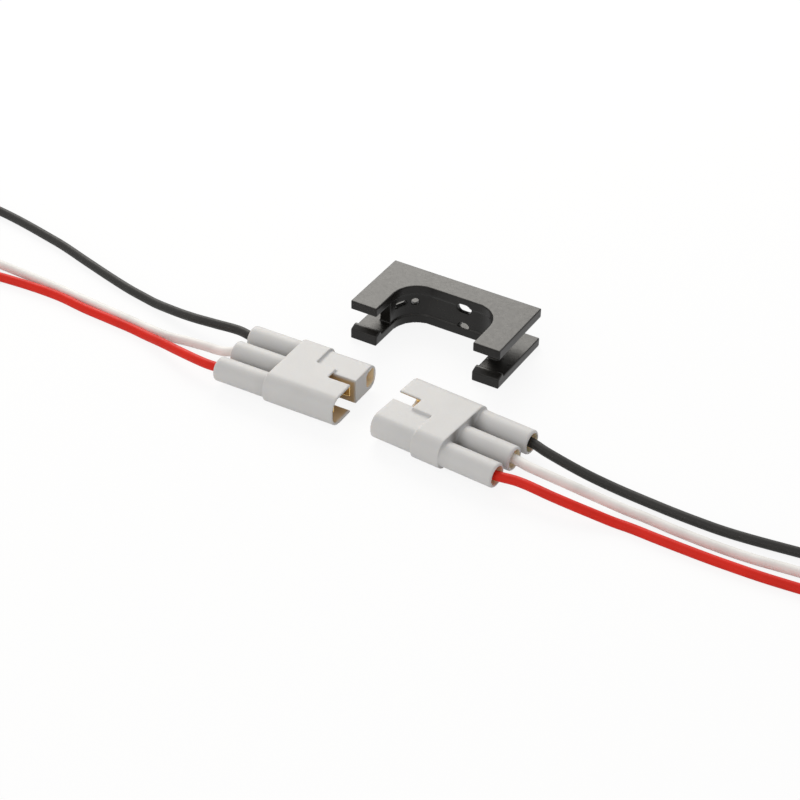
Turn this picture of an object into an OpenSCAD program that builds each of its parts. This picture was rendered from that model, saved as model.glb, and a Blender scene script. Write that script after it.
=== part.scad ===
// Pair of identical three-way in-line connector halves with crimped leads, and the
// black bracket that holds the mated pair in a panel. All sizes in millimetres.

/* [Contacts] */
// Distance between neighbouring contacts
pitch = 5.08; // [4.6:0.02:6.4]
// Thickness of a contact blade
blade_t = 0.34; // [0.2:0.02:0.4]
// Width of a contact blade
blade_w = 2; // [1.6:0.1:2.6]
// How far a blade's tip stays behind the front of its housing
tip_back = 1; // [0.4:0.1:2.5]
// Thickness of the collar that seats on the housing's web
collar_t = 0.8; // [0.5:0.1:1.2]
// Wall of the crimp barrel round the bare strands
crimp_wall = 0.5; // [0.3:0.05:0.6]
// Length of the crimp barrel
crimp_len = 3.8; // [2.5:0.1:4.5]
// Wall of the sleeve that holds the lead's insulation
sleeve_wall = 0.35; // [0.2:0.05:0.5]
// Length of that sleeve
sleeve_len = 2.5; // [1.5:0.1:3.5]
// Length of the two locking lances on a contact
lance_len = 1.5; // [1:0.1:1.8]

/* [Housing] */
// Length of the body, from its shoulder to its front
body_len = 12.9; // [12.4:0.1:16]
// Height of the body
body_h = 5.4; // [5.2:0.1:7]
// From the axis of an outer contact to the side of the body
end_cell = 2.12; // [2.1:0.02:3]
// Radius of the body's long edges
edge_r = 2.3; // [1.2:0.1:2.5]
// Thickness of the hood's wall
hood_wall = 0.4; // [0.3:0.05:0.7]
// Gap between a hood and the plug that goes into it
mate_gap = 0.05; // [0.05:0.05:0.2]
// How far two halves go into each other
mate_depth = 7.8; // [7:0.1:8.4]
// Room left beyond the end of a plug that is fully home
mate_slack = 0.3; // [0.1:0.1:0.6]
// From the middle plane to the edge of the hood
hood_edge = 1.4; // [1.1:0.05:1.8]
// Length of the open notch between hood and plug
notch_len = 4.1; // [3.9:0.1:5.5]
// Thickness of the web that the contacts seat on
web_t = 1.6; // [1:0.1:2]
// Width of the socket in the plug's front
socket_w = 2.4; // [1.8:0.1:2.8]
// Room above and below a blade in the socket
socket_room = 0.5; // [0.1:0.05:0.6]
// Length of the barrels that the leads come out of
barrel_len = 9.5; // [6:0.1:12]
// Wall of a barrel
barrel_wall = 0.5; // [0.3:0.05:0.5]
// Chamfer round the mouth of a barrel
mouth_chamfer = 0.2; // [0.1:0.05:0.25]

/* [Leads] */
// Outside diameter of a lead
lead_d = 1.6; // [1.2:0.05:1.8]
// Diameter of the bare strands
strand_d = 0.76; // [0.5:0.02:0.9]
// Length of the stripped end
strip_len = 5; // [3:0.5:8]

/* [Bracket] */
// Length of the bracket
bracket_len = 28; // [25:0.5:36]
// Depth of the bracket, front to back
bracket_depth = 14.5; // [13.5:0.5:20]
// Height of the bracket
bracket_h = 7.45; // [6.5:0.05:10]
// Thickness of the top plate
top_t = 1.7; // [1.2:0.1:2]
// Thickness of the bottom plate
bottom_t = 1.55; // [1.2:0.05:2.2]
// Width of the opening between the arms
throat_w = 18.1; // [16:0.1:21]
// Depth of that opening
throat_depth = 10.2; // [8:0.1:11]
// Radius of the opening's inner corners
throat_r = 4.6; // [3:0.1:5]
// Thickness of the wall that joins the plates
bracket_wall = 1; // [0.8:0.1:1.8]
// How far that wall stands back from the edge of the opening
wall_recess = 0.25; // [0.1:0.05:0.8]
// From the front of the arms to the start of that wall
wall_start = 5; // [2.4:0.1:5.4]
// Width of the posts that the wall ends in
post_w = 2; // [1.8:0.1:2.8]
// How far the barbs at the arms' ends stand above the bottom plate
barb_rise = 0.65; // [0.3:0.05:1]
// Height of the barbs' front edge above the bottom plate
barb_foot = 0.2; // [0.1:0.05:0.25]
// Length of the barbs' lead-in ramp
barb_ramp = 1.1; // [0.6:0.1:1.4]
// Length of a barb, front to back
barb_len = 1.65; // [1.5:0.05:2.2]
// Width of the latch window in the wall
window_w = 2.7; // [2:0.1:3.4]
// Height of the latch window
window_h = 1.8; // [1.2:0.1:1.9]
// How far the window lies right of the middle
window_x = 1.7; // [0:0.1:2.4]

/* [Layout] */
// Gap between the fronts of the two halves
front_gap = 7.4; // [2:0.1:12]
// Turn of the first half, in degrees
turn_a = 1; // [-4:0.5:4]
// Turn of the second half, in degrees
turn_b = -4; // [-6:0.5:4]

/* [Hidden] */
$fn = 64;
// Overlap that keeps cuts clear of the faces they leave through
eps = 0.02;

// Clearances, each named once
blade_gap = 0.03;
slot_gap = 0.05;
collar_gap = 0.1;
lance_gap = 0.1;
lead_gap = 0.06;
tongue_gap = 0.15;
strand_gap = 0.03;
sleeve_room = 0.34;

// Contact
well_d = strand_d + 2 * strand_gap;
crimp_d = well_d + 2 * crimp_wall;
sleeve_bore = lead_d + 2 * lead_gap;
sleeve_d = sleeve_bore + 2 * sleeve_wall;
sleeve_step = 0.3;
well_floor = 0.8;
lance_w = 0.9;
lance_t = 0.25;
lance_rise = 0.35;
lance_root = 0.2;
tip_taper = 0.7;

// Housing
body_w = 2 * (pitch + end_cell);
axis_z = body_h / 2;
plug_inset = hood_wall + mate_gap;
plug_side = blade_t + 2 * blade_gap;
tongue_side = hood_edge - tongue_gap;
cavity_depth = mate_depth + mate_slack;
seat_x = -(cavity_depth + web_t);
bore_d = sleeve_d + 2 * sleeve_room;
barrel_d = bore_d + 2 * barrel_wall;
barrel_root = 1;
pocket_d = bore_d + 2 * lance_rise + 4 * lance_gap;
pocket_len = lance_len + collar_t - lance_root + lance_gap;
half_len = body_len + barrel_len;
crimp_x = seat_x - collar_t - crimp_len;
lead_x = crimp_x - sleeve_step;
sleeve_x = lead_x - sleeve_len;
well_end = crimp_x + crimp_len - well_floor;
socket_h = blade_w + 2 * socket_room;
socket_r = 0.8;
sides = [-1, 0, 1];

// Openings in the bracket's wall: latch window, slot at the wall's foot under it, and two
// holes in the left bend, each given by its turn round the bend
window_drop = 0.45;
foot_slot_w = 2.2;
foot_slot_h = 0.9;
bend_rise = 0.45;
bend_hole_d = 1.3;
bend_hole_turn = 124;
bend_slot_w = 2.4;
bend_slot_h = 0.9;
bend_slot_turn = 154;
post_len = 1.2;

// Places of the pieces in the set
row_y = -11.15;
middle_x = -0.05;
a_front = [middle_x - front_gap / 2, row_y, 0];
b_front = [middle_x + front_gap / 2, row_y, 0];
bracket_at = [-0.5, 5.3, 0];

// Lead routes past the barrels: x, y and lift above the surface that the lead lies on
ROUTE_A_RED = [[-28.9, -16.59, 1.8], [-34, -15.57, 1.3], [-39.4, -14.15, 0.6],
    [-44.8, -12.96, 0], [-50.6, -12.47, 0], [-56.5, -12.11, 0], [-62.9, -11.4, 0],
    [-71, -11.6, 0], [-84, -13, 0], [-98, -14.6, 0], [-113, -15.4, 0]];
ROUTE_A_WHITE = [[-28.6, -11.99, 1.5], [-31.9, -11.42, 0.8], [-36.3, -11.17, 0.2],
    [-40.3, -11.47, 0], [-44.4, -11.24, 0], [-49.5, -10.78, 0], [-55.6, -10.24, 0],
    [-63.9, -9.52, 0], [-78, -8.8, 0], [-95, -8.7, 0], [-113, -9.6, 0]];
ROUTE_A_BLACK = [[-29.3, -5.92, 1.8], [-34, -6.15, 1.6], [-38.9, -6, 1.1], [-43.8, -5.29, 0.5],
    [-48.7, -4.3, 0], [-53.6, -3.35, 0], [-59, -1.94, 0], [-64.7, -0.3, 0], [-73.7, 2.25, 0],
    [-90, 5.2, 0], [-112, 5.6, 0]];
ROUTE_B_RED = [[28.9, -17.35, 1.9], [35.3, -17.56, 1.6], [40.8, -17.02, 0.8],
    [46.2, -16.29, 0], [52.1, -16.41, 0], [58, -16.53, 0], [63, -16.5, 0], [70, -16.2, 0],
    [84, -14.8, 0], [98, -13.7, 0], [113, -13.4, 0]];
ROUTE_B_WHITE = [[29.2, -13.34, 1.9], [35.4, -13.6, 1.6], [40.8, -13.25, 0.8],
    [46.8, -12.8, 0], [53.2, -13.23, 0], [59.1, -13.42, 0], [65.1, -13.29, 0], [73, -12.4, 0],
    [86, -11.1, 0], [99, -10.3, 0], [113, -10.2, 0]];
ROUTE_B_BLACK = [[29.2, -8.35, 1.7], [35.3, -8.83, 0.8], [40.2, -8.82, 0.1], [45.1, -9.17, 0],
    [50.6, -9.53, 0], [55.1, -9.67, 0], [60.1, -9.61, 0], [66, -9, 0], [80, -7, 0],
    [96, -4.9, 0], [113, -4, 0]];

function turned(p, a) = [p.x * cos(a) - p.y * sin(a), p.x * sin(a) + p.y * cos(a), p.z];
function in_a(p) = a_front + turned(p, turn_a);
function in_b(p) = b_front + turned(p, 180 + turn_b);
function unit(v) = v / norm(v);
// A lead's points inside its half, from the crimp to the mouth of the barrel
function inside(side) = [for (x = [lead_x, sleeve_x, -half_len]) [x, side * pitch, axis_z]];
function lying(route) = [for (p = route) [p.x, p.y, p.z + lead_d / 2]];

// Tube of eight sides swept along a list of points, with round-up frames that stay level
function tangent(path, i) =
    unit(path[min(i + 1, len(path) - 1)] - path[max(i - 1, 0)]);
function ring(path, i, r) =
    let (t = tangent(path, i), across = unit(cross(t, [0, 0, 1])), up = cross(across, t))
    [for (k = [0:7]) path[i] + r * (cos(45 * k + 22.5) * across + sin(45 * k + 22.5) * up)];
module tube(path, r) {
    last = len(path) - 1;
    points = [for (i = [0:last]) each ring(path, i, r)];
    walls = [for (i = [0:last - 1], k = [0:7])
        [8 * i + k, 8 * i + (k + 1) % 8, 8 * i + 8 + (k + 1) % 8, 8 * i + 8 + k]];
    start_cap = [for (k = [7:-1:0]) k];
    end_cap = [for (k = [0:7]) 8 * last + k];
    polyhedron(points, concat([start_cap, end_cap], walls), convexity = 4);
}

// Section drawn across the width and height, pushed along the length
module along(x, length) {
    translate([x, 0, 0]) rotate([90, 0, 90]) linear_extrude(length) children();
}
module shaft(x, length, d) {
    translate([x, 0, axis_z]) rotate([0, 90, 0]) cylinder(h = length, d = d);
}
module body_section(inset) {
    r = min(edge_r, axis_z - eps);
    translate([0, axis_z]) {
        square([body_w - 2 * r, body_h - 2 * inset], center = true);
        square([body_w - 2 * inset, body_h - 2 * r], center = true);
        for (y = [-1, 1], z = [-1, 1])
            translate([y * (body_w / 2 - r), z * (axis_z - r)]) circle(r - inset);
    }
}
module right_of(y) {
    translate([y, -eps]) square([body_w, body_h + 2 * eps]);
}
module left_of(y) {
    translate([y - body_w, -eps]) square([body_w, body_h + 2 * eps]);
}

module barrel() {
    r = barrel_d / 2;
    translate([-half_len, 0, axis_z]) rotate([0, 90, 0])
        rotate_extrude()
            polygon([[0, 0], [r - mouth_chamfer, 0], [r, mouth_chamfer],
                [r, barrel_len + barrel_root], [0, barrel_len + barrel_root]]);
}
// What is taken off the plug side so that the other half's hood slides over it. Behind the
// notch a tongue keeps its full height, and goes into the other half's notch.
module relief(length, side) {
    along(-length, length + eps) difference() {
        right_of(side);
        body_section(plug_inset);
    }
}
module plug_relief() {
    relief(mate_depth, tongue_side);
    relief(notch_len, plug_side);
}
module hood_cavity() {
    along(-cavity_depth, cavity_depth + eps) intersection() {
        body_section(hood_wall);
        left_of(plug_side);
    }
    translate([-notch_len, -hood_edge, -eps])
        cube([notch_len + eps, hood_edge + plug_side, body_h + 2 * eps]);
}
module socket_section() {
    square([socket_w - 2 * socket_r, socket_h], center = true);
    square([socket_w, socket_h - 2 * socket_r], center = true);
    for (y = [-1, 1], z = [-1, 1])
        translate([y * (socket_w / 2 - socket_r), z * (socket_h / 2 - socket_r)]) circle(socket_r);
}
module contact_passage() {
    shaft(-half_len - eps, half_len + eps + seat_x, bore_d);
    pocket_w = lance_w + 2 * lance_gap;
    translate([seat_x - pocket_len, -pocket_w / 2, axis_z - pocket_d / 2])
        cube([pocket_len, pocket_w, pocket_d]);
    slot_h = blade_w + 2 * slot_gap;
    translate([seat_x - eps, blade_gap - slot_gap, axis_z - slot_h / 2])
        cube([web_t + 2 * eps, blade_t + 2 * slot_gap, slot_h]);
}
module housing() {
    color([0.86, 0.86, 0.85]) difference() {
        union() {
            along(-body_len, body_len) body_section(0);
            for (side = sides) translate([0, side * pitch, 0]) barrel();
        }
        plug_relief();
        hood_cavity();
        along(-cavity_depth, cavity_depth + eps) translate([pitch, axis_z]) socket_section();
        for (side = sides) translate([0, side * pitch, 0]) contact_passage();
    }
}

// One contact on its own axis: blade, collar, lances, crimp barrel and insulation sleeve
module lance() {
    inner = crimp_d / 2 + lance_gap;
    outer = bore_d / 2 + lance_rise;
    root_x = seat_x - collar_t + lance_root;
    translate([0, lance_w / 2, 0]) rotate([90, 0, 0]) linear_extrude(lance_w)
        polygon([[root_x, inner], [root_x, inner + lance_t],
            [root_x - lance_len, outer], [root_x - lance_len, outer - lance_t]]);
}
module blade() {
    root_x = seat_x - collar_t / 2;
    far_y = blade_gap + blade_t;
    translate([0, 0, axis_z - blade_w / 2]) linear_extrude(blade_w)
        polygon([[root_x, blade_gap], [-tip_back - tip_taper, blade_gap],
            [-tip_back, blade_gap + blade_t / 2], [-tip_back, far_y], [root_x, far_y]]);
}
module contact() {
    color([0.83, 0.66, 0.3]) {
        blade();
        difference() {
            union() {
                shaft(seat_x - collar_t, collar_t, bore_d - 2 * collar_gap);
                shaft(crimp_x, crimp_len + eps, crimp_d);
                shaft(sleeve_x, crimp_x - sleeve_x + eps, sleeve_d);
            }
            shaft(sleeve_x - eps, sleeve_len + eps, sleeve_bore);
            shaft(lead_x - eps, well_end - lead_x + eps, well_d);
        }
        translate([0, 0, axis_z]) {
            lance();
            mirror([0, 0, 1]) lance();
        }
    }
}

module lead(path, shade) {
    color(shade) tube(path, lead_d / 2);
}
// Bare strands of one lead: the end inside the crimp barrel and the stripped end
module crimped_strands(side) {
    translate([0, side * pitch, 0]) shaft(lead_x, well_end - strand_gap - lead_x, strand_d);
}
module stripped_end(path) {
    last = path[len(path) - 1];
    way = tangent(path, len(path) - 1);
    translate(last) rotate([0, 0, atan2(way.y, way.x)]) rotate([0, 90, 0])
        cylinder(h = strip_len, d = strand_d);
}

// Opening between the arms, drawn from the front, with round inner corners
module throat(grow) {
    w = throat_w + 2 * grow;
    depth = throat_depth + grow;
    r = throat_r + grow;
    translate([-w / 2, -eps]) square([w, depth - r + eps]);
    translate([r - w / 2, -eps]) square([w - 2 * r, depth + eps]);
    for (x = [-1, 1]) translate([x * (w / 2 - r), depth - r]) circle(r);
}
module plate_outline() {
    difference() {
        translate([-bracket_len / 2, 0]) square([bracket_len, bracket_depth]);
        throat(0);
    }
}
// Bottom plate with a barb on the end of each arm
module bottom_plate() {
    low = bottom_t - eps;
    high = bottom_t + barb_rise;
    linear_extrude(bottom_t) plate_outline();
    intersection() {
        linear_extrude(bracket_h) plate_outline();
        along(-bracket_len / 2, bracket_len)
            polygon([[0, low], [0, bottom_t + barb_foot], [barb_ramp, high], [barb_len, high],
                [barb_len, low]]);
    }
}
// Cutter for a hole with round ends, across x and up z, pushed along y
module round_slot(w, h, length) {
    rotate([-90, 0, 0]) linear_extrude(length) {
        square([w - h, h], center = true);
        for (x = [-1, 1]) translate([x * (w - h) / 2, 0]) circle(h / 2);
    }
}
// Wall round the back of the opening, with a post at each end
module back_wall() {
    low = bottom_t - eps;
    high = bracket_h - top_t;
    translate([0, 0, low]) linear_extrude(high - low + eps) intersection() {
        difference() {
            throat(wall_recess + bracket_wall);
            throat(wall_recess);
        }
        translate([-bracket_len / 2, wall_start])
            square([bracket_len, throat_depth + wall_recess + bracket_wall - wall_start]);
    }
    for (x = [-1, 1]) translate([x * (throat_w + 2 * wall_recess + post_w) / 2, wall_start, low])
        translate([-post_w / 2, 0, 0]) cube([post_w, post_len, high - low + eps]);
}
module wall_openings() {
    through = wall_recess + bracket_wall + 2 * eps;
    under_top = bracket_h - top_t;
    bend = [throat_r - throat_w / 2, throat_depth - throat_r, 0];
    translate([window_x, throat_depth - eps, under_top - window_drop])
        round_slot(window_w, window_h, through);
    intersection() {
        translate([window_x, throat_depth - eps, bottom_t])
            round_slot(foot_slot_w, 2 * foot_slot_h, through);
        translate([-bracket_len / 2, 0, bottom_t]) cube([bracket_len, bracket_depth, foot_slot_h]);
    }
    mid = (bottom_t + under_top) / 2;
    translate([bend.x, bend.y, mid + bend_rise]) {
        rotate([0, 0, bend_hole_turn - 90]) translate([0, throat_r - eps, 0])
            round_slot(bend_hole_d + eps, bend_hole_d, through);
        rotate([0, 0, bend_slot_turn - 90]) translate([0, throat_r - eps, 0])
            round_slot(bend_slot_w, bend_slot_h, through);
    }
}
module panel_bracket() {
    color([0.13, 0.13, 0.12]) translate(bracket_at) difference() {
        union() {
            translate([0, 0, bracket_h - top_t]) linear_extrude(top_t) plate_outline();
            bottom_plate();
            back_wall();
        }
        wall_openings();
    }
}

module place_a() {
    translate(a_front) rotate([0, 0, turn_a]) children();
}
module place_b() {
    translate(b_front) rotate([0, 0, 180 + turn_b]) children();
}
module contact_in(side) {
    translate([0, side * pitch, 0]) contact();
}

RED = [0.8, 0.12, 0.08];
WHITE = [0.93, 0.91, 0.88];
BLACK = [0.1, 0.1, 0.1];
TIN = [0.75, 0.74, 0.72];
path_a_red = concat([for (p = inside(-1)) in_a(p)], lying(ROUTE_A_RED));
path_a_white = concat([for (p = inside(0)) in_a(p)], lying(ROUTE_A_WHITE));
path_a_black = concat([for (p = inside(1)) in_a(p)], lying(ROUTE_A_BLACK));
path_b_red = concat([for (p = inside(1)) in_b(p)], lying(ROUTE_B_RED));
path_b_white = concat([for (p = inside(0)) in_b(p)], lying(ROUTE_B_WHITE));
path_b_black = concat([for (p = inside(-1)) in_b(p)], lying(ROUTE_B_BLACK));

module strands_a(side, path) {
    color(TIN) {
        place_a() crimped_strands(side);
        stripped_end(path);
    }
}
module strands_b(side, path) {
    color(TIN) {
        place_b() crimped_strands(side);
        stripped_end(path);
    }
}

place_a() housing();  // housing_a
place_b() housing();  // housing_b
panel_bracket();
place_a() contact_in(-1);  // contact_a_red
place_a() contact_in(0);  // contact_a_white
place_a() contact_in(1);  // contact_a_black
place_b() contact_in(1);  // contact_b_red
place_b() contact_in(0);  // contact_b_white
place_b() contact_in(-1);  // contact_b_black
lead(path_a_red, RED);  // lead_a_red
lead(path_a_white, WHITE);  // lead_a_white
lead(path_a_black, BLACK);  // lead_a_black
lead(path_b_red, RED);  // lead_b_red
lead(path_b_white, WHITE);  // lead_b_white
lead(path_b_black, BLACK);  // lead_b_black
strands_a(-1, path_a_red);  // strands_a_red
strands_a(0, path_a_white);  // strands_a_white
strands_a(1, path_a_black);  // strands_a_black
strands_b(1, path_b_red);  // strands_b_red
strands_b(0, path_b_white);  // strands_b_white
strands_b(-1, path_b_black);  // strands_b_black
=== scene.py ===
"""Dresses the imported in-line connector set: housings, bracket, contacts, leads and stage."""
import math

import bmesh
import bpy
from mathutils import Matrix, Vector


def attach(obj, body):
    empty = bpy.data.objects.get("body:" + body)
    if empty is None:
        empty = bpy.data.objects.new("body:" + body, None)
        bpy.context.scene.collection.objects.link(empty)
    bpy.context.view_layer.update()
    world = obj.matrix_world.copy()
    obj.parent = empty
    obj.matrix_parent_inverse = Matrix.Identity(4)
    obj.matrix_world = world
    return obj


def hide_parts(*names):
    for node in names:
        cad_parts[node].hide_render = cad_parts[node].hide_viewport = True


bl_info = {
    "name": "In-line connector set",
    "version": (1, 0, 0),
    "blender": (4, 5, 0),
    "location": "3D View > Sidebar > Connector",
    "description": "Two crimped connector halves with leads, and the bracket for a panel",
    "category": "Object",
}

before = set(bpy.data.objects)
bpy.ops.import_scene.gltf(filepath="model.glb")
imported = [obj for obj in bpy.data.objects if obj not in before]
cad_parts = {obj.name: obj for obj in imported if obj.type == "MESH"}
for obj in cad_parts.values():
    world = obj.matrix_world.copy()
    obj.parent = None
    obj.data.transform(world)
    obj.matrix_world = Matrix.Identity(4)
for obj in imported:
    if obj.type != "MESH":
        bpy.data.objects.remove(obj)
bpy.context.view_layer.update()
ROOT = "root"
HALVES = ("a", "b")
LEAD_COLOURS = ("red", "white", "black")

# Place of each half: the middle of its front on the surface, and its turn in degrees
HALF_PLACE = {"a": ((-0.00375, -0.01115, 0.0), 1.0), "b": ((0.00365, -0.01115, 0.0), 176.0)}

# Centreline of each lead, in metres: from the crimp, through the barrel's mouth, to the stripped end
LEAD_ROUTES = {
    "a_red": (
        (-0.01836, -0.01648, 0.0027), (-0.02086, -0.01653, 0.0027), (-0.02351, -0.01657, 0.0027),
        (-0.02616, -0.01662, 0.0027), (-0.0289, -0.01659, 0.0026), (-0.034, -0.01557, 0.0021),
        (-0.0394, -0.01415, 0.0014), (-0.0448, -0.01296, 0.0008), (-0.0506, -0.01247, 0.0008),
        (-0.0565, -0.01211, 0.0008), (-0.0629, -0.0114, 0.0008), (-0.071, -0.0116, 0.0008),
        (-0.084, -0.013, 0.0008), (-0.098, -0.0146, 0.0008), (-0.113, -0.0154, 0.0008)),
    "a_white": (
        (-0.01845, -0.0114, 0.0027), (-0.02095, -0.01145, 0.0027), (-0.0236, -0.01149, 0.0027),
        (-0.02625, -0.01154, 0.0027), (-0.0286, -0.01199, 0.0023), (-0.0319, -0.01142, 0.0016),
        (-0.0363, -0.01117, 0.001), (-0.0403, -0.01147, 0.0008), (-0.0444, -0.01124, 0.0008),
        (-0.0495, -0.01078, 0.0008), (-0.0556, -0.01024, 0.0008), (-0.0639, -0.00952, 0.0008),
        (-0.078, -0.0088, 0.0008), (-0.095, -0.0087, 0.0008), (-0.113, -0.0096, 0.0008)),
    "a_black": (
        (-0.01854, -0.00633, 0.0027), (-0.02104, -0.00637, 0.0027), (-0.02369, -0.00642, 0.0027),
        (-0.02634, -0.00646, 0.0027), (-0.0293, -0.00592, 0.0026), (-0.034, -0.00615, 0.0024),
        (-0.0389, -0.006, 0.0019), (-0.0438, -0.00529, 0.0013), (-0.0487, -0.0043, 0.0008),
        (-0.0536, -0.00335, 0.0008), (-0.059, -0.00194, 0.0008), (-0.0647, -0.0003, 0.0008),
        (-0.0737, 0.00225, 0.0008), (-0.09, 0.0052, 0.0008), (-0.112, 0.0056, 0.0008)),
    "b_red": (
        (0.01776, -0.01724, 0.0027), (0.02025, -0.01741, 0.0027), (0.0229, -0.0176, 0.0027),
        (0.02554, -0.01778, 0.0027), (0.0289, -0.01735, 0.0027), (0.0353, -0.01756, 0.0024),
        (0.0408, -0.01702, 0.0016), (0.0462, -0.01629, 0.0008), (0.0521, -0.01641, 0.0008),
        (0.058, -0.01653, 0.0008), (0.063, -0.0165, 0.0008), (0.07, -0.0162, 0.0008),
        (0.084, -0.0148, 0.0008), (0.098, -0.0137, 0.0008), (0.113, -0.0134, 0.0008)),
    "b_white": (
        (0.01811, -0.01217, 0.0027), (0.02061, -0.01234, 0.0027), (0.02325, -0.01253, 0.0027),
        (0.0259, -0.01271, 0.0027), (0.0292, -0.01334, 0.0027), (0.0354, -0.0136, 0.0024),
        (0.0408, -0.01325, 0.0016), (0.0468, -0.0128, 0.0008), (0.0532, -0.01323, 0.0008),
        (0.0591, -0.01342, 0.0008), (0.0651, -0.01329, 0.0008), (0.073, -0.0124, 0.0008),
        (0.086, -0.0111, 0.0008), (0.099, -0.0103, 0.0008), (0.113, -0.0102, 0.0008)),
    "b_black": (
        (0.01847, -0.0071, 0.0027), (0.02096, -0.00728, 0.0027), (0.02361, -0.00746, 0.0027),
        (0.02625, -0.00764, 0.0027), (0.0292, -0.00835, 0.0025), (0.0353, -0.00883, 0.0016),
        (0.0402, -0.00882, 0.0009), (0.0451, -0.00917, 0.0008), (0.0506, -0.00953, 0.0008),
        (0.0551, -0.00967, 0.0008), (0.0601, -0.00961, 0.0008), (0.066, -0.009, 0.0008),
        (0.08, -0.007, 0.0008), (0.096, -0.0049, 0.0008), (0.113, -0.004, 0.0008)),
}

# Camera fitted to the picture: where it stands, its right and up directions, and its lens
CAMERA_EYE = (0.14227, -0.25357, 0.21070)
CAMERA_RIGHT = (0.86303, 0.50486, 0.01734)
CAMERA_UP = (-0.31214, 0.50597, 0.80409)
CAMERA_LENS_MM = 99.04
CAMERA_SENSOR_MM = 36.0
CAMERA_CLIP = 0.01


# Settings

def colour_setting(name, description, default):
    """Colour swatch setting, in linear values."""
    return bpy.props.FloatVectorProperty(
        name=name, description=description, subtype="COLOR", size=3, min=0.0, max=1.0, default=default)


def length_setting(name, description, default):
    """Length setting, in metres."""
    return bpy.props.FloatProperty(
        name=name, description=description, unit="LENGTH", min=0.0, precision=5, default=default)


def share_setting(name, description, default):
    """Setting between nought and one."""
    return bpy.props.FloatProperty(
        name=name, description=description, subtype="FACTOR", min=0.0, max=1.0, default=default)


class ConnectorMouldings(bpy.types.PropertyGroup):
    """Finish of the moulded housings and bracket."""
    housing_colour: colour_setting(
        "Housing", "Light grey of the moulded housings", (0.56, 0.555, 0.553))
    # Painted shade and painted reflection of the gold: an amber cast inside the hood
    hood_painted_cast_colour: colour_setting(
        "Hood", "Amber cast of the gold inside the hood", (0.52, 0.36, 0.19))
    # Painted light: a cream glow that stands in for gold light inside the socket and barrels
    bore_painted_glow_colour: colour_setting(
        "Bores", "Cream cast inside the socket and barrels", (0.95, 0.80, 0.57))
    # Painted shade: a darker grey where shade falls between the barrels
    painted_gap_shade_colour: colour_setting(
        "Gaps", "Darker grey between the barrels", (0.27, 0.26, 0.25))
    bracket_colour: colour_setting(
        "Bracket", "Black of the moulded bracket", (0.0085, 0.0076, 0.0066))
    housing_gloss: share_setting(
        "Housing roughness", "Middle roughness of the housings", 0.52)
    bracket_gloss: share_setting(
        "Bracket roughness", "Middle roughness of the bracket", 0.3)
    edge_cell: length_setting(
        "Edge cell", "Cell that softens the moulded edges; larger is rounder", 0.00014)


class ConnectorLeads(bpy.types.PropertyGroup):
    """Sizes and colours of the leads and their bare ends."""
    diameter: length_setting("Lead diameter", "Outside diameter of the insulation", 0.0016)
    strand_bundle: length_setting("Strand bundle", "Diameter of the twisted strands", 0.00076)
    strip_length: length_setting("Stripped end", "Length of the bare end", 0.005)
    lay_length: length_setting("Lay", "Length of one turn of the strands", 0.009)
    red: colour_setting("Red", "Insulation of the near leads", (0.655, 0.018, 0.008))
    white: colour_setting("White", "Insulation of the middle leads", (0.82, 0.805, 0.785))
    black: colour_setting("Black", "Insulation of the far leads", (0.032, 0.031, 0.0295))
    tin: colour_setting("Tin", "Tinned copper of the strands", (0.74, 0.72, 0.68))


class ConnectorContacts(bpy.types.PropertyGroup):
    """Finish and edges of the plated contacts."""
    gold: colour_setting("Gold", "Gold plate on the contacts", (0.93, 0.67, 0.28))
    gold_gloss: share_setting("Gold roughness", "Middle roughness of the plate", 0.26)
    coined_cell: length_setting("Coined cell", "Cell that rounds the contacts' edges", 0.00006)


class ConnectorStage(bpy.types.PropertyGroup):
    """Floor, light and air of the picture."""
    floor_size: length_setting("Floor", "Side of the square floor", 6.0)
    floor_colour: colour_setting("Floor colour", "Pale floor", (0.90, 0.90, 0.90))
    ambient: bpy.props.FloatProperty(
        name="Ambient", description="Radiance of the room all round", min=0.0, default=0.60)
    softbox_radiance: bpy.props.FloatProperty(
        name="Softbox", description="Radiance of the softbox behind the set", min=0.0, default=6.2)
    softbox_size: length_setting("Softbox size", "Side of the softbox", 0.36)
    softbox_distance: length_setting("Softbox distance", "From the bracket to each softbox", 0.60)
    fill_size: length_setting("Fill size", "Side of the softbox in front", 0.5)
    fill_radiance: bpy.props.FloatProperty(
        name="Fill", description="Radiance of the softbox in front", min=0.0, default=1.0)


# Small helpers

def settings(group):
    """One settings group of the current scene."""
    return getattr(bpy.context.scene, "connector_" + group)


def add_object(name, data):
    """Object at the origin, linked to the scene."""
    made = bpy.data.objects.new(name, data)
    bpy.context.scene.collection.objects.link(made)
    return made


def half_matrix(half):
    """From a half's own frame to the set's frame."""
    front, turn = HALF_PLACE[half]
    return Matrix.Translation(front) @ Matrix.Rotation(math.radians(turn), 4, "Z")


def plain_mesh(obj, name):
    """Evaluated shape of an object as a new plain mesh."""
    graph = bpy.context.evaluated_depsgraph_get()
    mesh = bpy.data.meshes.new_from_object(obj.evaluated_get(graph))
    mesh.name = name
    return mesh


# Values that the noise hardly leaves
NOISE_LOW = 0.3
NOISE_HIGH = 0.7


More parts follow.
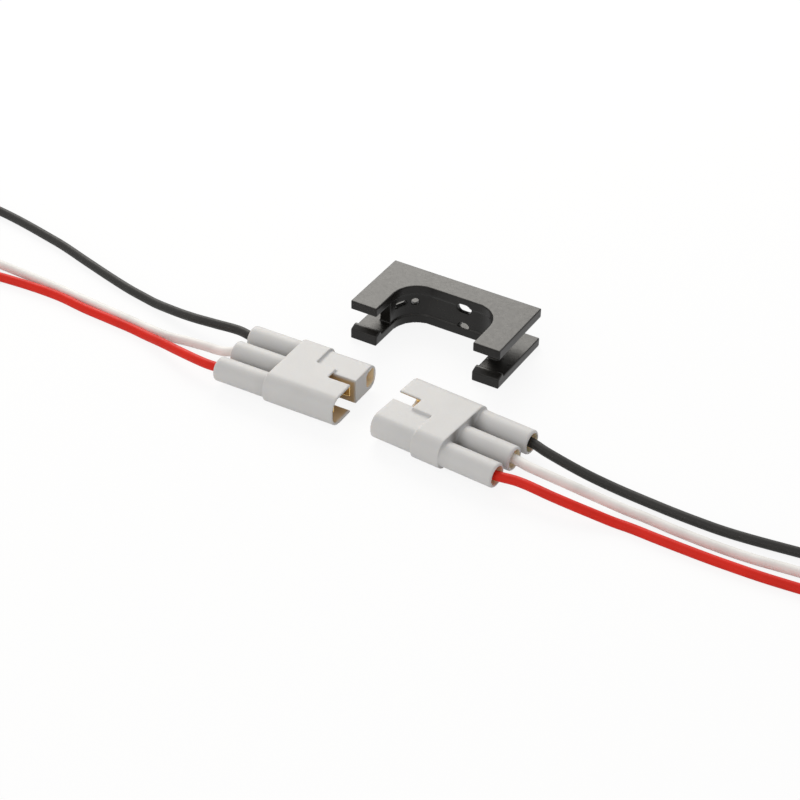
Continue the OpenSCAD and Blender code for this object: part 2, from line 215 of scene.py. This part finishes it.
class Shader:
    """Short way to write a material's nodes."""

    def __init__(self, name):
        self.material = bpy.data.materials.new(name)
        self.material.use_nodes = True
        self.tree = self.material.node_tree
        self.principled = self.tree.nodes["Principled BSDF"]
        self.place = self.add("ShaderNodeTexCoord").outputs["Object"]

    def add(self, kind, **values):
        """New node with its options."""
        node = self.tree.nodes.new(kind)
        for key, value in values.items():
            setattr(node, key, value)
        return node

    def link(self, source, target):
        """Wire between two sockets."""
        self.tree.links.new(source, target)

    def noise(self, scale, detail=3.0, stretch=(1.0, 1.0, 1.0)):
        """Noise over the piece, with so many cells to a metre."""
        mapping = self.add("ShaderNodeMapping")
        mapping.inputs["Scale"].default_value = stretch
        self.link(self.place, mapping.inputs["Vector"])
        node = self.add("ShaderNodeTexNoise")
        node.inputs["Scale"].default_value = scale
        node.inputs["Detail"].default_value = detail
        self.link(mapping.outputs["Vector"], node.inputs["Vector"])
        return node.outputs["Fac"]

    def spread(self, source, low, high):
        """Noise turned into a range of values."""
        node = self.add("ShaderNodeMapRange")
        ends = (("From Min", NOISE_LOW), ("From Max", NOISE_HIGH), ("To Min", low), ("To Max", high))
        for name, value in ends:
            node.inputs[name].default_value = value
        self.link(source, node.inputs["Value"])
        return node.outputs["Result"]

    def blend(self, factor, first, second):
        """Mix of two colours; each is a colour or a socket."""
        node = self.add("ShaderNodeMix", data_type="RGBA")
        self.link(factor, node.inputs["Factor"])
        for socket, value in ((node.inputs[6], first), (node.inputs[7], second)):
            if isinstance(value, bpy.types.NodeSocket):
                self.link(value, socket)
            else:
                socket.default_value = (*value, 1.0)
        return node.outputs[2]

    def mottle(self, base, cells, detail, dark, light):
        """Colour that drifts between a darker and a lighter shade of its base."""
        drift = self.spread(self.noise(cells, detail), 0.0, 1.0)
        return self.blend(drift, shade(base, dark), shade(base, light))

    def paint(self, colour):
        """Base colour from a socket."""
        self.link(colour, self.principled.inputs["Base Color"])

    def roughen(self, cells, low, high):
        """Roughness that drifts between two values."""
        self.link(self.spread(self.noise(cells), low, high), self.principled.inputs["Roughness"])

    def grain(self, source, depth):
        """Bump of a given depth in metres."""
        node = self.add("ShaderNodeBump")
        node.inputs["Strength"].default_value = 1.0
        node.inputs["Distance"].default_value = depth
        self.link(source, node.inputs["Height"])
        self.link(node.outputs["Normal"], self.principled.inputs["Normal"])

    def set(self, **values):
        """Constants on the shader's own sockets."""
        for key, value in values.items():
            self.principled.inputs[key.replace("_", " ")].default_value = value


def shade(colour, factor):
    """Colour made lighter or darker."""
    return tuple(min(1.0, c * factor) for c in colour)


# Finishes

def housing_plastic():
    """Light grey moulded plastic with painted light and shade: painted shade between the barrels, a
    painted amber cast of shade and gold reflection inside the hood, and a painted cream glow inside the
    socket and barrels.
    """
    look = settings("mouldings")
    s = Shader("housing_plastic")
    body = s.mottle(look.housing_colour, 160.0, 4.0, 0.965, 1.02)
    # Painted light and shade over the grey: shade between the barrels, an amber cast in the hood, a cream
    # glow in the bores
    for name, colour in (("gap", look.painted_gap_shade_colour), ("hood", look.hood_painted_cast_colour), ("bore", look.bore_painted_glow_colour)):
        layer = s.add("ShaderNodeAttribute", attribute_name=name)
        body = s.blend(layer.outputs["Fac"], body, tuple(colour))
    s.paint(body)
    s.roughen(2600.0, look.housing_gloss - 0.06, look.housing_gloss + 0.08)
    s.grain(s.noise(7000.0, 4.0), 0.000008)
    s.set(IOR=1.5, Subsurface_Weight=0.2, Subsurface_Radius=(1.0, 0.75, 0.5), Subsurface_Scale=0.0006)
    return s.material


def bracket_plastic():
    """Black moulded plastic with an eroded satin surface."""
    look = settings("mouldings")
    s = Shader("bracket_plastic")
    s.paint(s.mottle(look.bracket_colour, 300.0, 4.0, 0.8, 1.25))
    s.roughen(1800.0, look.bracket_gloss - 0.03, look.bracket_gloss + 0.04)
    s.grain(s.noise(6000.0, 5.0), 0.0000012)
    s.set(IOR=1.345)
    return s.material


def gold_plate():
    """Gold plate with faint draw lines."""
    look = settings("contacts")
    s = Shader("gold_plate")
    s.paint(s.mottle(look.gold, 500.0, 3.0, 0.94, 1.03))
    s.roughen(2000.0, look.gold_gloss - 0.04, look.gold_gloss + 0.06)
    s.grain(s.noise(2500.0, 2.0, (0.06, 1.0, 1.0)), 0.0000015)
    s.set(Metallic=1.0)
    return s.material


def tinned_copper():
    """Tinned strands, a little dull."""
    s = Shader("tinned_copper")
    s.paint(s.mottle(settings("leads").tin, 1500.0, 3.0, 0.84, 1.05))
    s.roughen(3000.0, 0.24, 0.4)
    s.grain(s.noise(8000.0, 2.0), 0.000003)
    s.set(Metallic=1.0)
    return s.material


def insulation(colour):
    """Extruded insulation: smooth, with faint bands of colour and a soft gloss."""
    s = Shader(colour + "_insulation")
    s.paint(s.mottle(getattr(settings("leads"), colour), 220.0, 3.0, 0.9, 1.06))
    s.roughen(1200.0, 0.42, 0.55)
    s.grain(s.noise(1600.0, 3.0, (0.35, 1.0, 1.0)), 0.000003)
    s.set(IOR=1.27)
    return s.material


# Pieces made from the solids

MERGE_DISTANCE = 1e-7

# How often the cells are eased: edges that a mould leaves, and edges that a press coins rounder
MOULDED_PASSES = 2
COINED_PASSES = 6


def softened_copy(node, name, place, cell, passes):
    """Copy of a CAD solid with rounded edges, in its own frame; more passes round them more."""
    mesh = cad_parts[node].data.copy()
    mesh.name = name
    work = bmesh.new()
    work.from_mesh(mesh)
    bmesh.ops.remove_doubles(work, verts=work.verts, dist=MERGE_DISTANCE)
    bmesh.ops.transform(work, matrix=place.inverted(), verts=work.verts)
    work.to_mesh(mesh)
    work.free()
    mesh.materials.clear()
    rough = add_object(name + "_rough", mesh)
    cells = rough.modifiers.new("Cells", "REMESH")
    cells.mode = "VOXEL"
    cells.voxel_size = cell
    cells.use_smooth_shade = True
    ease = rough.modifiers.new("Ease", "SMOOTH")
    ease.factor = 0.5
    ease.iterations = passes
    done = plain_mesh(rough, name)
    bpy.data.objects.remove(rough)
    bpy.data.meshes.remove(mesh)
    if not done.vertices:
        raise RuntimeError(f"softening {node} left nothing")
    return done


def dress(data, name, node, finish):
    """Piece in one finish that stands for a CAD node."""
    data.materials.append(finish)
    piece = add_object(name, data)
    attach(piece, ROOT)
    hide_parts(node)
    return piece


# Sections of a half across its length, in millimetres: middle, half width, half height and corner radius
BODY_SECTION = (0.0, 7.2, 2.7, 2.3)
SOCKET_SECTION = (5.08, 1.2, 1.5, 0.8)

# Contacts of a half, in millimetres: their pitch, which of them there are, and the height of their axes
PITCH = 5.08
SIDES = (-1, 0, 1)
AXIS_Z = 2.7

# Hood of a half, in millimetres from the middle of its front
CAVITY_BACK = -8.2
INSIDE_WALL = 0.22
PLUG_SIDE = 0.55
PLUG_SIDE_BAND = 0.3
PLUG_TOP = 4.8

# Socket and barrels of a half, in the same way
SOCKET_SKIN = 0.08
BORE_RADIUS = 1.62
BORE_FRONT = -9.7
BORE_MOUTH = -22.4
SHOULDER = -12.9
SHOULDER_SKIN = 0.05

# Painted shade between the barrels: how far it reaches to each side and back from the shoulder, and its
# shares
GAP_REACH = 1.5
ROOT_REACH = 2.2
GAP_SHARE = 0.25
GAP_ROOT_SHARE = 0.6
SHOULDER_SHARE = 0.2

# Depth in millimetres, or share, at which each painted tint of light or shade is full
HOOD_FADE = 0.5
BORE_FADE = 0.25
GAP_FADE = 1.0


def outside(section, y, z):
    """How far a point lies outside a round-cornered section; less than nought inside it."""
    middle, half_w, half_h, corner = section
    across = abs(y - middle) - half_w + corner
    up = abs(z - AXIS_Z) - half_h + corner
    return math.hypot(max(across, 0.0), max(up, 0.0)) + min(max(across, up), 0.0) - corner


# Mask for the painted amber shade and gold reflection inside the hood
def in_hood(x, y, z):
    """How deep a point of a half lies in its hood, in millimetres."""
    if not CAVITY_BACK < x < 0.0 or y > PLUG_SIDE or outside(BODY_SECTION, y, z) > -INSIDE_WALL:
        return 0.0
    return min(-x, PLUG_TOP - z) if y > PLUG_SIDE - PLUG_SIDE_BAND else -x


# Mask for the painted cream glow inside the socket and barrels
def in_bore(x, y, z):
    """How deep a point of a half lies in its socket or barrels, in millimetres."""
    if CAVITY_BACK < x < 0.0 and outside(SOCKET_SECTION, y, z) < SOCKET_SKIN:
        return -x
    for side in SIDES:
        if x < BORE_FRONT and math.hypot(y - side * PITCH, z - AXIS_Z) < BORE_RADIUS:
            return x - BORE_MOUTH
    return 0.0


def painted_gap_shade_share(x, y, z):
    """Share of painted shade at a point of a half, in the gaps between its barrels; deepest at the
    shoulder.
    """
    if x > SHOULDER + SHOULDER_SKIN:
        return 0.0
    beside = max(0.0, 1.0 - abs(abs(y) - PITCH / 2) / GAP_REACH)
    root = max(0.0, 1.0 - (SHOULDER - x) / ROOT_REACH)
    return beside * (GAP_SHARE + GAP_ROOT_SHARE * root) + SHOULDER_SHARE * root


def mark(mesh, name, depth, fade):
    """Attribute that grows from nought to one as a point goes deeper into a hollow."""
    layer = mesh.attributes.new(name, "FLOAT", "POINT")
    for vertex, item in zip(mesh.vertices, layer.data):
        item.value = min(1.0, max(0.0, depth(*(vertex.co * 1000.0)) / fade))


class CONNECTOR_OT_housings(bpy.types.Operator):
    """Dress both moulded housings"""
    bl_idname = "connector.housings"
    bl_label = "Housings"

    def execute(self, context):
        finish = housing_plastic()
        cell = settings("mouldings").edge_cell
        for half in HALVES:
            node = "housing_" + half
            name = "moulded_" + node
            place = half_matrix(half)
            mesh = softened_copy(node, name, place, cell, MOULDED_PASSES)
            # Masks of the painted amber cast in the hood, the painted cream glow in the bores and the
            # painted shade between the barrels
            mark(mesh, "hood", in_hood, HOOD_FADE)
            mark(mesh, "bore", in_bore, BORE_FADE)
            mark(mesh, "gap", painted_gap_shade_share, GAP_FADE)
            mesh.transform(place)
            dress(mesh, name, node, finish)
        return {"FINISHED"}


class CONNECTOR_OT_bracket(bpy.types.Operator):
    """Dress the moulded panel bracket"""
    bl_idname = "connector.bracket"
    bl_label = "Bracket"

    def execute(self, context):
        node, name = "panel_bracket", "moulded_bracket"
        cell = settings("mouldings").edge_cell
        mesh = softened_copy(node, name, Matrix.Identity(4), cell, MOULDED_PASSES)
        dress(mesh, name, node, bracket_plastic())
        return {"FINISHED"}


class CONNECTOR_OT_contacts(bpy.types.Operator):
    """Plate the crimp contacts"""
    bl_idname = "connector.contacts"
    bl_label = "Contacts"

    def execute(self, context):
        plate = gold_plate()
        cell = settings("contacts").coined_cell
        for half in HALVES:
            place = half_matrix(half)
            for colour in LEAD_COLOURS:
                node = f"contact_{half}_{colour}"
                name = "plated_" + node
                mesh = softened_copy(node, name, place, cell, COINED_PASSES)
                mesh.transform(place)
                dress(mesh, name, node, plate)
        return {"FINISHED"}


# Leads

def level_tangents(points):
    """Direction of the smooth line at each point; it never dips between two points that lie level."""
    found = []
    for i, point in enumerate(points):
        before, after = points[max(i - 1, 0)], points[min(i + 1, len(points) - 1)]
        way = after - before
        if (point.z - before.z) * (after.z - point.z) <= 0.0:
            way.z = 0.0
        found.append(way.normalized())
    return found


# Steps between two points of a lead, and how finely it is round
LEAD_STEPS = 10
LEAD_ROUNDNESS = 5


def lead_curve(name, points, diameter):
    """Round lead as one open curve through its route."""
    curve = bpy.data.curves.new(name, "CURVE")
    curve.dimensions = "3D"
    curve.resolution_u = LEAD_STEPS
    curve.bevel_depth = diameter / 2
    curve.bevel_resolution = LEAD_ROUNDNESS
    curve.use_fill_caps = True
    line = curve.splines.new("BEZIER")
    line.bezier_points.add(len(points) - 1)
    tangents = level_tangents(points)
    for i, (bead, point, way) in enumerate(zip(line.bezier_points, points, tangents)):
        before, after = points[max(i - 1, 0)], points[min(i + 1, len(points) - 1)]
        bead.handle_left_type = bead.handle_right_type = "FREE"
        bead.co = point
        bead.handle_left = point - way * ((point - before).length / 3)
        bead.handle_right = point + way * ((after - point).length / 3)
    return curve


# Strands of a bare end: wires round the middle one, wires across, sides of a wire, and steps in a turn
OUTER_WIRES = 6
WIRES_ACROSS = 3.0
WIRE_SIDES = 10
TURN_STEPS = 40
CRIMPED_LENGTH = 0.00327

STRAND_INPUTS = {
    "Length": "NodeSocketFloat", "Bundle": "NodeSocketFloat", "Lay": "NodeSocketFloat",
    "Outer wires": "NodeSocketInt", "Start": "NodeSocketVector", "Turn": "NodeSocketVector",
    "Finish": "NodeSocketMaterial",
}


def strand_tree():
    """Geometry Nodes tree: wires twisted round a middle one, from a start along a direction."""
    tree = bpy.data.node_groups.new("twisted_strands", "GeometryNodeTree")
    tree.interface.new_socket("Geometry", in_out="OUTPUT", socket_type="NodeSocketGeometry")
    for name, kind in STRAND_INPUTS.items():
        tree.interface.new_socket(name, in_out="INPUT", socket_type=kind)
    given = tree.nodes.new("NodeGroupInput").outputs

    def fill(socket, value):
        """Link or set one input."""
        if isinstance(value, bpy.types.NodeSocket):
            tree.links.new(value, socket)
        else:
            socket.default_value = value

    def add(kind, **inputs):
        """New node with its inputs filled; gives its first output."""
        node = tree.nodes.new(kind)
        for name, value in inputs.items():
            fill(node.inputs[name.replace("_", " ")], value)
        return node.outputs[0] if node.outputs else None

    def reckon(operation, first, second):
        """One step of arithmetic on two values or sockets."""
        node = tree.nodes.new("ShaderNodeMath")
        node.operation = operation
        fill(node.inputs[0], first)
        fill(node.inputs[1], second)
        return node.outputs[0]

    length = given["Length"]
    ring_radius = reckon("DIVIDE", given["Bundle"], WIRES_ACROSS)
    wire_radius = reckon("DIVIDE", given["Bundle"], 2 * WIRES_ACROSS)
    profile = add("GeometryNodeCurvePrimitiveCircle", Resolution=WIRE_SIDES, Radius=wire_radius)

    helix = add("GeometryNodeCurveSpiral", Resolution=TURN_STEPS, Height=length,
                Rotations=reckon("DIVIDE", length, given["Lay"]),
                Start_Radius=ring_radius, End_Radius=ring_radius)
    wire = add("GeometryNodeCurveToMesh", Curve=helix, Profile_Curve=profile, Fill_Caps=True)
    step = reckon("DIVIDE", 2 * math.pi, given["Outer wires"])
    spin = add("ShaderNodeCombineXYZ", Z=reckon("MULTIPLY", add("GeometryNodeInputIndex"), step))
    seats = add("GeometryNodePoints", Count=given["Outer wires"])
    outer = add("GeometryNodeInstanceOnPoints", Points=seats, Instance=wire, Rotation=spin)

    core_line = add("GeometryNodeCurvePrimitiveLine", End=add("ShaderNodeCombineXYZ", Z=length))
    core = add("GeometryNodeCurveToMesh", Curve=core_line, Profile_Curve=profile, Fill_Caps=True)

    bundle = tree.nodes.new("GeometryNodeJoinGeometry")
    for part in (outer, core):
        fill(bundle.inputs["Geometry"], part)
    moved = add("GeometryNodeTransform", Geometry=bundle.outputs["Geometry"],
                Translation=given["Start"], Rotation=given["Turn"])
    real = add("GeometryNodeRealizeInstances", Geometry=moved)
    smooth = add("GeometryNodeSetShadeSmooth", Geometry=real)
    dressed = add("GeometryNodeSetMaterial", Geometry=smooth, Material=given["Finish"])
    add("NodeGroupOutput", Geometry=dressed)
    return tree


def strand_mesh(tree, name, start, way, length, finish):
    """One bare end as a plain mesh, from the tree."""
    sizes = settings("leads")
    values = {
        "Length": length, "Bundle": sizes.strand_bundle, "Lay": sizes.lay_length,
        "Outer wires": OUTER_WIRES, "Start": tuple(start),
        "Turn": tuple(way.to_track_quat("Z", "Y").to_euler()), "Finish": finish}
    holder = add_object(name + "_maker", bpy.data.meshes.new(name + "_maker"))
    maker = holder.modifiers.new("Strands", "NODES")
    maker.node_group = tree
    for socket in tree.interface.items_tree:
        if socket.in_out == "INPUT":
            maker[socket.identifier] = values[socket.name]
    mesh = plain_mesh(holder, name)
    spare = holder.data
    bpy.data.objects.remove(holder)
    bpy.data.meshes.remove(spare)
    if not mesh.vertices:
        raise RuntimeError(f"{name} has no strands")
    return mesh


def bare_ends(tree, name, points, finish):
    """Both bare ends of one lead as a single mesh."""
    ends = (("crimped_", points[0], points[0] - points[1], CRIMPED_LENGTH),
            ("stripped_", points[-1], points[-1] - points[-2], settings("leads").strip_length))
    whole = bmesh.new()
    for word, start, way, length in ends:
        part = strand_mesh(tree, word + name, start, way.normalized(), length, finish)
        whole.from_mesh(part)
        bpy.data.meshes.remove(part)
    mesh = bpy.data.meshes.new(name)
    whole.to_mesh(mesh)
    whole.free()
    return mesh


class CONNECTOR_OT_leads(bpy.types.Operator):
    """Lay the crimped leads and their bare ends"""
    bl_idname = "connector.leads"
    bl_label = "Leads"

    def execute(self, context):
        diameter = settings("leads").diameter
        coats = {colour: insulation(colour) for colour in LEAD_COLOURS}
        tin = tinned_copper()
        tree = strand_tree()
        for key, route in LEAD_ROUTES.items():
            points = [Vector(p) for p in route]
            colour = key.split("_")[1]
            name = "insulated_lead_" + key
            curve = lead_curve(name, points, diameter)
            lead = dress(curve, name, "lead_" + key, coats[colour])
            name = "bare_ends_" + key
            mesh = bare_ends(tree, name, points, tin)
            ends = dress(mesh, name, "strands_" + key, tin)
        return {"FINISHED"}


# Stage

def seen_or_mirrored(tree):
    """One for rays from the camera, from gloss or through glass, and nought for light in the room."""
    path = tree.nodes.new("ShaderNodeLightPath")
    found = path.outputs["Is Camera Ray"]
    for name in ("Is Glossy Ray", "Is Transmission Ray"):
        either = tree.nodes.new("ShaderNodeMath")
        either.operation = "MAXIMUM"
        tree.links.new(found, either.inputs[0])
        tree.links.new(path.outputs[name], either.inputs[1])
        found = either.outputs[0]
    return found


def room_world(strength):
    """Even room light that shows as white behind the set."""
    world = bpy.data.worlds.new("studio_room")
    world.use_nodes = True
    tree = world.node_tree
    room = tree.nodes["Background"]
    room.inputs["Color"].default_value = (1.0, 1.0, 1.0, 1.0)
    room.inputs["Strength"].default_value = strength
    white = tree.nodes.new("ShaderNodeBackground")
    white.inputs["Strength"].default_value = 1.0
    white.inputs["Color"].default_value = (1.0, 1.0, 1.0, 1.0)
    mix = tree.nodes.new("ShaderNodeMixShader")
    tree.links.new(seen_or_mirrored(tree), mix.inputs[0])
    tree.links.new(room.outputs[0], mix.inputs[1])
    tree.links.new(white.outputs[0], mix.inputs[2])
    tree.links.new(mix.outputs[0], tree.nodes["World Output"].inputs["Surface"])
    bpy.context.scene.world = world


# Share of plain white in the floor as it is seen, and how far it lies below the set
FLOOR_GLOW = 0.88
FLOOR_DROP = 0.00003


def pale_floor(colour):
    """Pale floor that reads as white and keeps a soft shadow."""
    s = Shader("pale_floor")
    s.paint(s.mottle(colour, 8.0, 3.0, 0.995, 1.0))
    s.set(Roughness=0.9)
    glow = s.add("ShaderNodeEmission")
    glow.inputs["Strength"].default_value = 1.0
    share = s.add("ShaderNodeMath", operation="MULTIPLY")
    share.inputs[1].default_value = FLOOR_GLOW
    s.link(seen_or_mirrored(s.tree), share.inputs[0])
    mix = s.add("ShaderNodeMixShader")
    s.link(share.outputs[0], mix.inputs[0])
    s.link(s.principled.outputs[0], mix.inputs[1])
    s.link(glow.outputs[0], mix.inputs[2])
    s.link(mix.outputs[0], s.tree.nodes["Material Output"].inputs["Surface"])
    return s.material


def floor_sheet(size, colour):
    """Square floor just below the set."""
    half = size / 2
    corners = [(x * half, y * half, -FLOOR_DROP) for x, y in ((-1, -1), (1, -1), (1, 1), (-1, 1))]
    mesh = bpy.data.meshes.new("floor")
    mesh.from_pydata(corners, [], [(0, 1, 2, 3)])
    mesh.materials.append(pale_floor(colour))
    return add_object("floor", mesh)


# Colour of the softboxes, the point that they face, and the way to each of them from there
SOFTBOX_COLOUR = (1.0, 0.968, 0.905)
SOFTBOX_AIM = Vector((-0.0005, 0.0125, 0.0075))
SOFTBOX_WAY = Vector((-0.49, 0.64, 0.594))
FILL_WAY = Vector((-0.25, -0.85, 0.45))


def softbox(name, way, distance, size, radiance):
    """Square softbox that faces the set from a direction."""
    light = bpy.data.lights.new(name, "AREA")
    light.shape = "SQUARE"
    light.size = size
    light.energy = radiance * math.pi * size * size
    light.color = SOFTBOX_COLOUR
    lamp = add_object(name, light)
    lamp.location = SOFTBOX_AIM + way.normalized() * distance
    lamp.rotation_euler = way.to_track_quat("Z", "Y").to_euler()


def picture_camera():
    """Camera that stands where the picture was taken."""
    right, up = Vector(CAMERA_RIGHT), Vector(CAMERA_UP)
    back = right.cross(up).normalized()
    view = bpy.data.cameras.new("camera")
    view.lens = CAMERA_LENS_MM
    view.sensor_width = CAMERA_SENSOR_MM
    view.clip_start = CAMERA_CLIP
    camera = add_object("camera", view)
    turn = Matrix((right, up, back)).transposed().to_4x4()
    camera.matrix_world = Matrix.Translation(CAMERA_EYE) @ turn
    return camera


class CONNECTOR_OT_stage(bpy.types.Operator):
    """Set the floor, the light and the camera"""
    bl_idname = "connector.stage"
    bl_label = "Stage"

    def execute(self, context):
        look = settings("stage")
        floor_sheet(look.floor_size, look.floor_colour)
        room_world(look.ambient)
        reach = look.softbox_distance
        softbox("softbox_behind", SOFTBOX_WAY, reach, look.softbox_size, look.softbox_radiance)
        softbox("softbox_front", FILL_WAY, reach, look.fill_size, look.fill_radiance)
        context.scene.camera = picture_camera()
        context.scene.view_settings.view_transform = "Standard"
        return {"FINISHED"}


# Add-on

class CONNECTOR_PT_panel(bpy.types.Panel):
    """Connector set"""
    bl_idname = "CONNECTOR_PT_panel"
    bl_label = "Connector set"
    bl_space_type = "VIEW_3D"
    bl_region_type = "UI"
    bl_category = "Connector"

    def draw(self, context):
        for group in GROUPS:
            box = self.layout.box()
            owner = settings(group)
            for name in type(owner).__annotations__:
                box.prop(owner, name)
        for step in STEPS:
            self.layout.operator(step.bl_idname)


GROUPS = {"mouldings": ConnectorMouldings, "leads": ConnectorLeads,
          "contacts": ConnectorContacts, "stage": ConnectorStage}
STEPS = (CONNECTOR_OT_stage, CONNECTOR_OT_leads, CONNECTOR_OT_housings,
         CONNECTOR_OT_bracket, CONNECTOR_OT_contacts)


def register():
    """Add the settings, operators and panel."""
    for kind in (*GROUPS.values(), *STEPS, CONNECTOR_PT_panel):
        bpy.utils.register_class(kind)
    for name, kind in GROUPS.items():
        setattr(bpy.types.Scene, "connector_" + name, bpy.props.PointerProperty(type=kind))


def unregister():
    """Take them away again."""
    for name in GROUPS:
        delattr(bpy.types.Scene, "connector_" + name)
    for kind in reversed((*GROUPS.values(), *STEPS, CONNECTOR_PT_panel)):
        bpy.utils.unregister_class(kind)


def main():
    """Make every piece."""
    register()
    bpy.ops.connector.stage()
    bpy.ops.connector.leads()
    bpy.ops.connector.housings()
    bpy.ops.connector.bracket()
    bpy.ops.connector.contacts()


if __name__ == "__main__":
    main()
